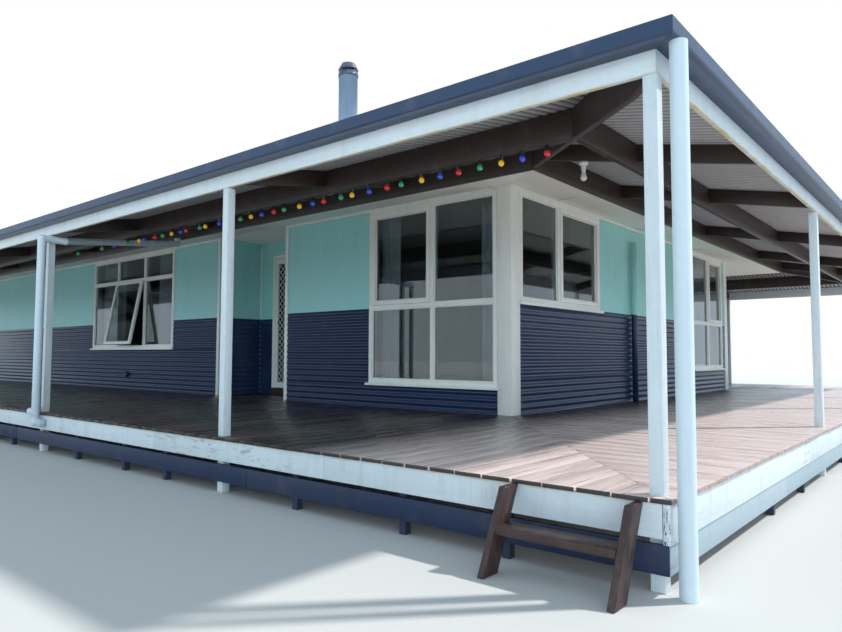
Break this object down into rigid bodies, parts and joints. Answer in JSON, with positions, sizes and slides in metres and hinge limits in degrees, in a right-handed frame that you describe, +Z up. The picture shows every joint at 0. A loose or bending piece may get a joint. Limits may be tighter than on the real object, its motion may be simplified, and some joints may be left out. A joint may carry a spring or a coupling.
{
  "type": "single-storey house with a wraparound verandah",
  "caption": "Low house on a raised timber deck, verandah all round on square posts, corrugated dado, recessed entry, corner windows, hipped roof and flue.",
  "frame": {"origin": "centre of the deck's plan, on the ground", "axes": "+X to the right along the front, +Y from front to rear, +Z up"},
  "size_m": [21.368, 14.822, 5.405],
  "materials": {
    "dark_timber": "weathered",
    "deck_boards": "worn stain",
    "white_paint": "painted",
    "navy_paint": "painted",
    "floor_boards": "plain",
    "aqua_sheet": "painted sheet",
    "navy_iron": "satin",
    "cream_paint": "painted",
    "glass": "clear",
    "brown_timber": "painted",
    "white_metal": "satin",
    "black_mesh": "matt",
    "cream_sheet": "painted sheet",
    "grey_iron": "weathered",
    "slate_blue_metal": "satin",
    "white_pipe": "smooth",
    "flue_metal": "satin",
    "painted_pipe": "painted",
    "festoon": "gloss"
  },
  "bodies": {
    "house": {"stumps": "dark_timber", "deck_bearers": "dark_timber", "deck": "deck_boards", "rim_boards": "white_paint", "skirt_boards": "navy_paint", "house_floor": "floor_boards", "front_wall_left": "aqua_sheet", "front_wall_right": "aqua_sheet", "porch_side_walls": "aqua_sheet", "porch_back_walls": "aqua_sheet", "porch_over_door": "aqua_sheet", "right_wall": "aqua_sheet", "rear_wall": "aqua_sheet", "left_wall": "aqua_sheet", "front_dado": "navy_iron", "side_and_rear_dado": "navy_iron", "white_trims": "cream_paint", "triple_window": "cream_paint", "open_sash": "cream_paint", "corner_window": "cream_paint", "right_high_window": "cream_paint", "right_low_window": "cream_paint", "rear_and_left_windows": "cream_paint", "window_glass": "glass", "door_frame": "cream_paint", "threshold": "brown_timber", "eaves_lining": "cream_sheet", "ceiling": "cream_sheet", "eaves_fascia": "brown_timber", "verandah_purlins": "brown_timber", "verandah_rafters": "brown_timber", "verandah_beams": "white_paint", "verandah_posts": "white_paint", "front_and_rear_roof": "grey_iron", "side_roofs": "grey_iron", "ridge_and_hip_caps": "grey_iron", "gutters": "slate_blue_metal", "downpipes": "white_pipe", "flue": "flue_metal", "wall_fittings": "painted_pipe", "verandah_light": "white_pipe", "festoon_lights": "festoon", "side_steps": "brown_timber"},
    "screen_door": {"screen_door": "white_metal", "door_mesh": "black_mesh"}
  },
  "joints": [
    {"name": "screen_door_hinge", "type": "hinge", "parent": "house", "child": "screen_door", "pos_m": [3.5575, -3.2055, 1.55], "axis": [0, 0, 1], "range_deg": [0, 95]}
  ]
}
